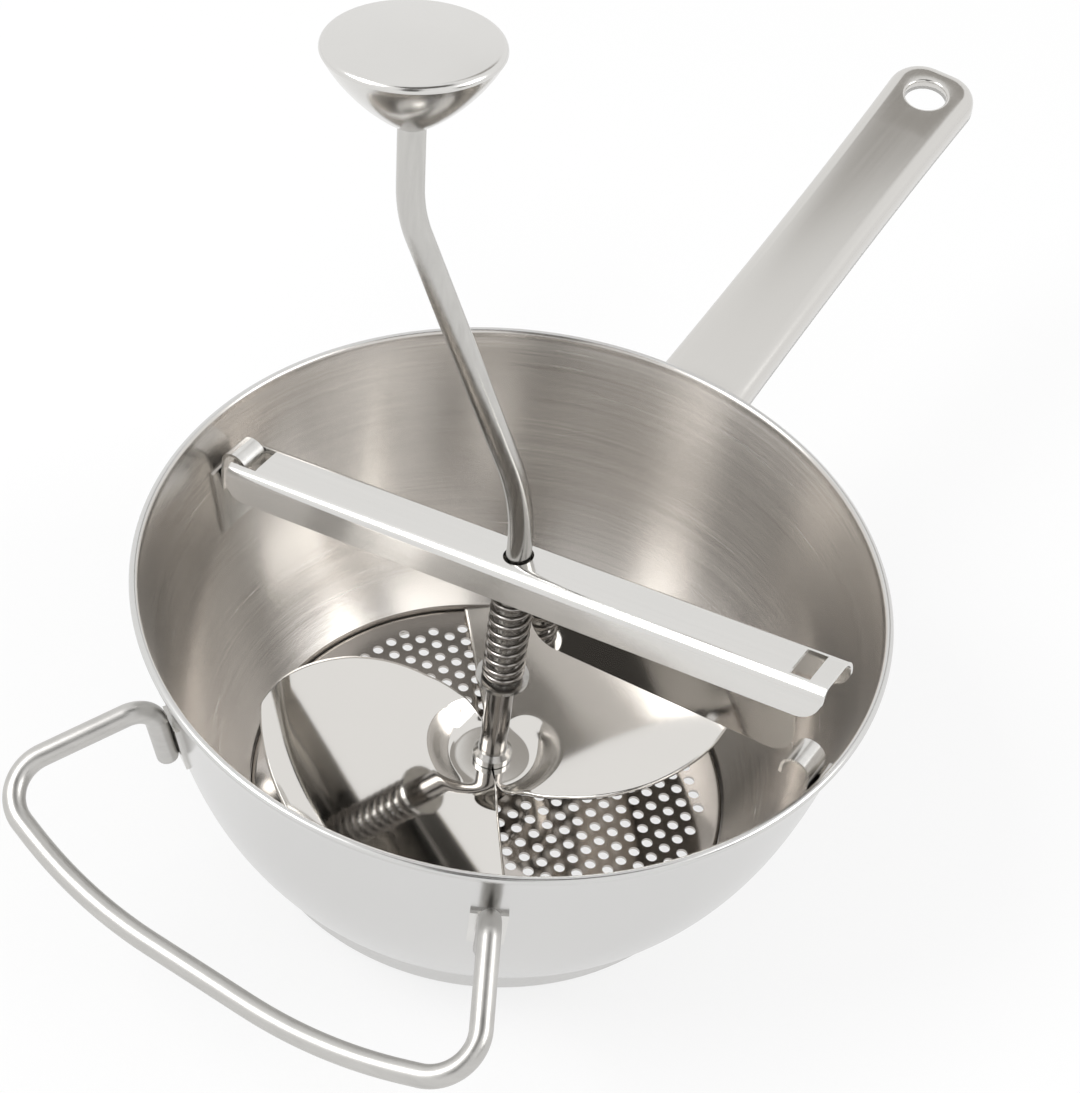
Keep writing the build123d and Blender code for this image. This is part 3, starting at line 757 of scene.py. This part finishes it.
class MILL_OT_crank(Operator):
    """Bend the crank rod and finish the rings on its shaft"""

    bl_idname = "mill.crank"
    bl_label = "Crank"

    def execute(self, context):
        s = context.scene.mill_crank
        look = finishes()
        base, upright = knob_frame(s)
        top = base - upright * s.shoulder_gap
        bm = bmesh.new()
        route = ((0, 0, s.foot), (0, 0, s.low_bend), base - upright * s.spindle_drop, top)
        loop = bent_rod(bm, route, (s.low_bend_radius, s.high_bend_radius), s.rod_radius)
        loop = pushed(bm, loop, (0, 0, 0))
        narrower = (s.spindle_radius / s.rod_radius,) * 3
        bmesh.ops.scale(bm, verts=corners_of(loop), vec=narrower, space=Matrix.Translation(-top))
        loop = pushed(bm, loop, upright * s.spindle_length)
        bmesh.ops.holes_fill(bm, edges=loop)
        bmesh.ops.recalc_face_normals(bm, faces=bm.faces)
        piece_from(bm, "Crank_Rod", [look["rod"]], "crank", ["crank_rod"])
        dress(look["rod"], "lower_washer", "knob_retainer", "hub_collar")
        dress(look["spring"], "shaft_sleeve")
        return {"FINISHED"}


class MILL_OT_spring(Operator):
    """Wind the pressure spring, with a closed turn at each end"""

    bl_idname = "mill.spring"
    bl_label = "Spring"

    def execute(self, context):
        s = context.scene.mill_crank
        look = finishes()
        bm = bmesh.new()
        upright = Matrix.Rotation(math.radians(90), 4, "X")
        start = Matrix.Translation((s.spring_radius, 0, s.spring_low)) @ upright
        loop = circle(bm, WIRE_SIDES, s.spring_wire, start)
        bmesh.ops.holes_fill(bm, edges=loop)
        open_rise = (s.spring_high - s.spring_low - 2 * s.spring_closed) / s.spring_turns
        for turns, rise in ((1, s.spring_closed), (s.spring_turns, open_rise), (1, s.spring_closed)):
            made = bmesh.ops.spin(
                bm,
                geom=loop + corners_of(loop),
                cent=(0, 0, 0),
                axis=(0, 0, 1),
                dvec=(0, 0, rise / COIL_STEPS),
                angle=FULL_TURN * turns,
                steps=COIL_STEPS * turns,
            )
            loop = edges_of(made["geom_last"])
        bmesh.ops.holes_fill(bm, edges=loop)
        bmesh.ops.recalc_face_normals(bm, faces=bm.faces)
        skin = [look["spring"]]
        piece = piece_from(bm, "Pressure_Spring", skin, "crank", ["pressure_spring"])
        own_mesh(piece)
        return {"FINISHED"}


class MILL_OT_crossbar(Operator):
    """Fold the crossbar from sheet, pierce it, and finish its plate and washer"""

    bl_idname = "mill.crossbar"
    bl_label = "Crossbar"

    def execute(self, context):
        s = context.scene.mill_bar
        look = finishes()
        bm = bmesh.new()
        end = s.length / 2
        near_fold = s.corner * math.tan(math.radians(90 - s.flare) / 2)
        near = s.flat / 2 + near_fold
        far = s.flat / 2 + s.corner
        foot = near + s.near_depth * math.tan(math.radians(s.flare))
        profile = ((-foot, -s.near_depth), (-near, 0), (far, 0), (far, -s.depth))
        verts = [bm.verts.new((-end, x, z)) for x, z in profile]
        for pair in zip(verts, verts[1:]):
            bm.edges.new(pair)
        for vert, fold in ((verts[1], near_fold), (verts[2], s.corner)):
            self.rounded(bm, [vert], fold, FOLD_STEPS)
        pushed(bm, bm.edges[:], (s.length + s.free_reach, 0, 0))
        low = [v for v in bm.verts if abs(v.co.z + (s.depth if v.co.y > 0 else s.near_depth)) < FINE]
        self.rounded(bm, low, s.end_corner, EDGE_STEPS)
        slot_ends = [s.slot_place + sign * s.slot_length / 2 for sign in (-1, 1)]
        self.divide(bm, Vector((1, 0, 0)), slot_ends + [s.hole_frame])
        self.divide(bm, Vector((0, 1, 0)), (s.slot_width / 2, s.hole_frame))
        self.pierce(bm, s)
        facing_up(bm)
        lean = math.radians(s.tilt)
        along = Vector((0, -math.cos(lean), math.sin(lean)))
        up = Vector((0, math.sin(lean), math.cos(lean)))
        place = Matrix((along, Vector((1, 0, 0)), up)).transposed().to_4x4()
        bmesh.ops.transform(bm, verts=bm.verts, matrix=Matrix.Translation((0, 0, s.height)) @ place)
        skin = [look["polished"]]
        piece = piece_from(bm, "Crossbar_Channel", skin, "crossbar", ["crossbar"], FOLD_CREASE)
        thickened(piece, s.sheet, s.edge)
        dress(look["mirror"], "stop_plate")
        dress(look["rod"], "upper_washer")
        return {"FINISHED"}

    @staticmethod
    def rounded(bm, corners, reach, steps):
        """Round corners of an open sheet."""
        bmesh.ops.bevel(
            bm, geom=corners, offset=reach, affect="VERTICES", segments=steps, profile=0.5, material=-1
        )

    @staticmethod
    def divide(bm, normal, places):
        """Cut the top across or along, at places on both sides of the middle."""
        flat_enough = 0.9
        for place in places:
            for side in (-place, place):
                top = [f for f in bm.faces if abs(f.normal.z) > flat_enough]
                around = list({e for f in top for e in f.edges}) + list({v for f in top for v in f.verts})
                bmesh.ops.bisect_plane(
                    bm, geom=top + around, plane_co=normal * side, plane_no=normal, dist=FINE
                )

    @staticmethod
    def pierce(bm, s):
        """Cut out both slots and set a round hole into the square at the middle."""
        lowest = -s.corner / 5

        def in_square(p):
            return max(abs(p.x), abs(p.y)) < s.hole_frame + FINE and p.z > lowest

        def in_slot(p):
            along, across = abs(abs(p.x) - s.slot_place), abs(p.y)
            return along < s.slot_length / 2 and across < s.slot_width / 2 and p.z > lowest

        def square_rim():
            return [e for e in bm.edges if e.is_boundary and all(in_square(v.co) for v in e.verts)]

        middles = [(face, face.calc_center_median()) for face in bm.faces]
        cut = [face for face, middle in middles if in_slot(middle) or in_square(middle)]
        bmesh.ops.delete(bm, geom=cut, context="FACES")
        bmesh.ops.subdivide_edges(bm, edges=square_rim(), cuts=3)
        bmesh.ops.bridge_loops(bm, edges=square_rim() + circle(bm, HOLE_STEPS, s.hole_radius))


class MILL_OT_clips(Operator):
    """Finish the clips on the wall"""

    bl_idname = "mill.clips"
    bl_label = "Clips"

    def execute(self, context):
        dress(finishes()["clip"], "left_clip", "right_clip")
        return {"FINISHED"}


class MILL_OT_handles(Operator):
    """Press the long handle, bend the wire handle, and finish the saddle and the brackets"""

    bl_idname = "mill.handles"
    bl_label = "Handles"

    def execute(self, context):
        s = context.scene.mill_handle
        look = finishes()
        self.long_handle(s, look["handle"])
        self.wire_handle(s, look["wire"])
        dress(look["handle"], "handle_saddle")
        dress(look["clip"], "left_bracket", "right_bracket")
        return {"FINISHED"}

    @staticmethod
    def outline(s, inset):
        """The handle's open outline from root to root around its end, smaller by an inset."""
        last = s.length - s.end_corner
        half = []
        for step in range(SIDE_STEPS + 1):
            x = last * step / SIDE_STEPS
            if x < s.waist_place:
                way = x / s.waist_place
                width = s.root_width + (s.waist_width - s.root_width) * way * (2 - way)
            else:
                way = (x - s.waist_place) / (s.length - s.waist_place)
                width = s.waist_width + (s.end_width - s.waist_width) * way * way
            half.append((x, width / 2 - inset))
        middle = half[-1][1] + inset - s.end_corner
        half += arc((last, middle), s.end_corner - inset, 90, -90, CORNER_STEPS)[1:]
        return half + [(x, -y) for x, y in reversed(half)]

    def long_handle(self, s, material):
        """Loops from the rim over the rounded edge, a flat top around the hole, and the hole's lip."""
        bm = bmesh.new()
        levels = [(0.0, -s.depth), (0.0, -(s.depth + s.corner) / 2)]
        levels += arc((s.corner, -s.corner), s.corner, 180, -90, EDGE_STEPS)
        loops = [[bm.verts.new((x, y, z)) for x, y in self.outline(s, inset)] for inset, z in levels]
        for low, high in zip(loops, loops[1:]):
            for a, b, c, d in zip(low, low[1:], high[1:], high):
                bm.faces.new((a, b, c, d))
        lip = arc((s.hole_radius + s.hole_round, -s.hole_round), s.hole_round, 90, 90, LIP_STEPS)
        rings = []
        for radius, z in lip + [(s.hole_radius, -s.hole_depth)]:
            rings.append(circle(bm, HANG_HOLE_STEPS, radius, Matrix.Translation((s.hole_place, 0, z))))
        for high, low in zip(rings, rings[1:]):
            bmesh.ops.bridge_loops(bm, edges=high + low)
        inner = loops[-1]
        border = [bm.edges.get(pair) for pair in zip(inner, inner[1:])]
        border.append(bm.edges.new((inner[-1], inner[0])))
        bmesh.ops.triangle_fill(bm, edges=border + rings[0], use_beauty=True, use_dissolve=False)
        facing_up(bm)
        slope = Matrix.Rotation(-math.radians(s.slope), 4, "Y")
        lift = Matrix.Translation((s.root_radius, 0, s.root_height))
        bmesh.ops.transform(bm, verts=bm.verts, matrix=lift @ slope)
        for vert in {v for loop in loops for v in (loop[0], loop[-1])}:
            wall = wall_radius(vert.co.z) + s.wall_gap
            vert.co.x = math.sqrt(wall * wall - vert.co.y * vert.co.y)
        aside = Matrix.Rotation(math.radians(s.direction), 3, "Z")
        bmesh.ops.rotate(bm, verts=bm.verts, cent=(0, 0, 0), matrix=aside)
        node = ["handle_shell"]
        piece = piece_from(bm, "Long_Handle", [material], "bowl", node, FOLD_CREASE)
        thickened(piece, s.sheet)

    @staticmethod
    def wire_handle(s, material):
        """A rod from leg to leg, the same on both sides of its middle."""
        angle = math.radians(180 - s.wire_angle)
        legs = []
        for height in WIRE_LEG:
            out = wall_radius(height) + s.bracket + s.wire_radius
            legs.append((out * math.cos(angle), out * math.sin(angle), height))
        left = legs + list(WIRE_ROUTE)
        right = [(x, -y, z) for x, y, z in reversed(left)]
        bm = bmesh.new()
        loop = bent_rod(bm, left + right, WIRE_BENDS + tuple(reversed(WIRE_BENDS)), s.wire_radius)
        closed_rod(bm, loop, s.wire_end)
        turned = Matrix.Rotation(math.radians(s.wire_turn), 3, "Z")
        bmesh.ops.rotate(bm, verts=bm.verts, cent=(0, 0, 0), matrix=turned)
        piece_from(bm, "Wire_Handle", [material], "bowl", ["wire_handle"])


class MILL_OT_knob(Operator):
    """Spin the knob's cup and cap"""

    bl_idname = "mill.knob"
    bl_label = "Knob"

    def execute(self, context):
        s = context.scene.mill_crank
        look = finishes()
        base, upright = knob_frame(s)
        stand = Matrix.Translation(base) @ upright.to_track_quat("Z", "Y").to_matrix().to_4x4()
        pieces = (("Knob_Cup", "knob_cup", self.cup(s)), ("Knob_Cap", "knob_cap", self.cap(s)))
        for name, node, line in pieces:
            bm = spun(line, KNOB_STEPS)
            bmesh.ops.transform(bm, verts=bm.verts, matrix=stand)
            piece_from(bm, name, [look["knob"]], "knob", [node])
        dress(look["bush"], "knob_bush")
        return {"FINISHED"}

    @staticmethod
    def cup(s):
        """Closed line of the cup: bowed outside, inside and the hole for the bush."""
        run = s.knob_radius - s.knob_neck
        handles = [(s.knob_neck + run * out, s.knob_depth * up) for out, up in CUP_BOW]
        side = curve([(s.knob_neck, 0), *handles, (s.knob_radius, s.knob_depth)])
        inward, upward = (s.knob_sheet * part for part in CUP_INNER)
        inside = [(r - inward, z + upward) for r, z in reversed(side[2:-1])]
        floor = [(s.knob_bore, s.knob_sheet), (s.knob_bore, 0)]
        return floor + side + [(s.knob_radius - s.knob_sheet, s.knob_depth)] + inside

    @staticmethod
    def cap(s):
        """Closed line of the cap: a rounded edge and a low dome."""
        inner, top = s.knob_radius - s.knob_edge, s.knob_depth + s.knob_dome
        edge = arc((inner, s.knob_depth), s.knob_edge, 0, 80, EDGE_STEPS)
        shoulder = (inner, s.knob_depth + s.knob_edge)
        low, high = (inner * part for part in DOME_BOW)
        rise = curve((shoulder, (low, top - s.knob_crown), (high, top), (0, top)))
        under = [(0, top - s.knob_sheet), (inner, s.knob_depth + s.knob_sheet)]
        return edge + rise + under + [(s.knob_radius - s.knob_sheet, s.knob_depth)]


class MILL_OT_stage(Operator):
    """Set up floor, background, lamps, cards and camera"""

    bl_idname = "mill.stage"
    bl_label = "Stage"

    def execute(self, context):
        s = context.scene.mill_stage
        context.scene.view_settings.view_transform = "Standard"
        self.floor(s)
        self.background(s)
        self.lamps(s)
        self.cards(s)
        self.camera(context, s)
        return {"FINISHED"}

    @staticmethod
    def seen_rays(nodes, links):
        """One where a ray comes from the camera, a mirror or glass."""
        path = nodes.new("ShaderNodeLightPath")
        seen = path.outputs["Is Camera Ray"]
        for kind in ("Is Glossy Ray", "Is Transmission Ray"):
            either = maths(nodes, "MAXIMUM")
            links.new(seen, either.inputs[0])
            links.new(path.outputs[kind], either.inputs[1])
            seen = either.outputs[0]
        return seen

    @staticmethod
    def facing(place, aim):
        """A turn that makes something at a place look at an aim."""
        return (Vector(aim) - Vector(place)).to_track_quat("-Z", "Y")

    def floor(self, s):
        """A white floor that shows a share of its shading."""
        bm = bmesh.new()
        bmesh.ops.create_grid(bm, x_segments=1, y_segments=1, size=s.floor_half)
        floor = object_from(bm, "Floor")
        floor.location = (0, 0, -s.floor_drop)
        material, nodes, links = blank_material("Floor")
        diffuse = nodes["Principled BSDF"]
        diffuse.inputs["Base Color"].default_value = [*s.floor, 1]
        diffuse.inputs["Roughness"].default_value = 0.9
        diffuse.inputs["Specular IOR Level"].default_value = 0.0
        glow = nodes.new("ShaderNodeEmission")
        glow.inputs["Color"].default_value = [*s.backdrop, 1]
        seen = self.seen_rays(nodes, links)
        share_of = maths(nodes, "MULTIPLY", 1 - s.shadow)
        links.new(seen, share_of.inputs[0])
        mix = nodes.new("ShaderNodeMixShader")
        links.new(share_of.outputs[0], mix.inputs[0])
        links.new(diffuse.outputs[0], mix.inputs[1])
        links.new(glow.outputs[0], mix.inputs[2])
        links.new(mix.outputs[0], nodes["Material Output"].inputs["Surface"])
        floor.data.materials.append(material)

    def background(self, s):
        """Light from all around, plain white where it is seen."""
        world = bpy.data.worlds.new("Studio")
        bpy.context.scene.world = world
        world.use_nodes = True
        nodes, links = world.node_tree.nodes, world.node_tree.links
        back = nodes["Background"]
        back.inputs["Color"].default_value = [*s.backdrop, 1]
        seen = self.seen_rays(nodes, links)
        level = nodes.new("ShaderNodeMapRange")
        level.inputs["To Min"].default_value = s.ambient
        level.inputs["To Max"].default_value = 1.0
        links.new(seen, level.inputs["Value"])
        links.new(level.outputs["Result"], back.inputs["Strength"])

    def lamps(self, s):
        """Large soft lamps."""
        for name, place, width, power in (
            ("Key", (-0.9, 0.9, 1.5), 0.9, 14.0),
            ("Fill", (0.6, -1.3, 1.2), 0.8, 7.0),
        ):
            lamp = bpy.data.lights.new(name, "AREA")
            lamp.size = width
            lamp.energy = power
            holder = bpy.data.objects.new(name, lamp)
            holder.location = place
            holder.rotation_euler = self.facing(place, s.lamp_aim).to_euler()
            bpy.context.scene.collection.objects.link(holder)

    def cards(self, s):
        """Dark cards that only mirrors see."""
        for name, place, width, height, grey in (
            ("Card_Top", (-0.1, -0.2, 1.7), 1.1, 0.7, 0.09),
            ("Card_Right", (0.3, -1.8, 0.9), 0.9, 0.5, 0.15),
            ("Card_Back", (1.7, 0.45, 1.7), 0.8, 0.6, 0.4),
            ("Card_Front", (-1.0, -0.52, 1.3), 0.5, 0.9, 0.06),
        ):
            bm = bmesh.new()
            bmesh.ops.create_grid(bm, x_segments=1, y_segments=1, size=1)
            bmesh.ops.scale(bm, verts=bm.verts, vec=(width / 2, height / 2, 1))
            heading = self.facing(place, s.lamp_aim).to_matrix().to_4x4()
            bmesh.ops.transform(bm, verts=bm.verts, matrix=Matrix.Translation(place) @ heading)
            card = object_from(bm, name)
            material, nodes, links = blank_material(name)
            glow = nodes.new("ShaderNodeEmission")
            glow.inputs["Color"].default_value = [grey * part for part in CARD_TINT] + [1]
            links.new(glow.outputs[0], nodes["Material Output"].inputs["Surface"])
            card.data.materials.append(material)
            card.visible_camera = False
            card.visible_diffuse = False
            card.visible_shadow = False

    @staticmethod
    def camera(context, s):
        """A camera that looks at its aim and leans by its roll."""
        data = bpy.data.cameras.new("Camera")
        data.sensor_fit = "HORIZONTAL"
        data.sensor_width = s.sensor
        data.lens = s.lens
        camera = bpy.data.objects.new("Camera", data)
        place, aim = Vector(s.camera_place), Vector(s.camera_aim)
        ahead = (aim - place).normalized()
        right = ahead.cross(Vector((0, 0, 1))).normalized()
        up = right.cross(ahead)
        roll = math.radians(s.camera_roll)
        leaned_right = right * math.cos(roll) + up * math.sin(roll)
        leaned_up = up * math.cos(roll) - right * math.sin(roll)
        heading = Matrix((leaned_right, leaned_up, -ahead)).transposed().to_4x4()
        camera.matrix_world = Matrix.Translation(place) @ heading
        context.scene.collection.objects.link(camera)
        context.scene.camera = camera


BUILD_STEPS = (
    MILL_OT_bowl,
    MILL_OT_sieve,
    MILL_OT_blade,
    MILL_OT_crank,
    MILL_OT_spring,
    MILL_OT_crossbar,
    MILL_OT_clips,
    MILL_OT_handles,
    MILL_OT_knob,
    MILL_OT_stage,
)
SETTINGS = (
    ("mill_bowl", BowlSizes),
    ("mill_blade", BladeSizes),
    ("mill_crank", CrankSizes),
    ("mill_bar", BarSizes),
    ("mill_handle", HandleSizes),
    ("mill_finishes", MillFinishes),
    ("mill_stage", StageSettings),
)


class MILL_PT_panel(Panel):
    """Lists the mill's build steps and settings"""

    bl_idname = "MILL_PT_panel"
    bl_label = "Food mill"
    bl_space_type = "VIEW_3D"
    bl_region_type = "UI"
    bl_category = "Mill"

    def draw(self, context):
        """Draw a button for each step and the settings of each group."""
        for step in BUILD_STEPS:
            self.layout.operator(step.bl_idname)
        for name, group in SETTINGS:
            box = self.layout.box()
            box.label(text=group.__doc__)
            for prop in group.__annotations__:
                box.prop(getattr(context.scene, name), prop)


def register():
    """Register the settings, the build steps and the panel."""
    for name, group in SETTINGS:
        bpy.utils.register_class(group)
        setattr(bpy.types.Scene, name, PointerProperty(type=group))
    for step in BUILD_STEPS:
        bpy.utils.register_class(step)
    bpy.utils.register_class(MILL_PT_panel)


def unregister():
    """Take the panel, the build steps and the settings away again."""
    bpy.utils.unregister_class(MILL_PT_panel)
    for step in reversed(BUILD_STEPS):
        bpy.utils.unregister_class(step)
    for name, group in reversed(SETTINGS):
        delattr(bpy.types.Scene, name)
        bpy.utils.unregister_class(group)


def main():
    """Build the mill and its stage."""
    register()
    for step in BUILD_STEPS:
        family, verb = step.bl_idname.split(".")
        getattr(getattr(bpy.ops, family), verb)()


if __name__ == "__main__":
    main()
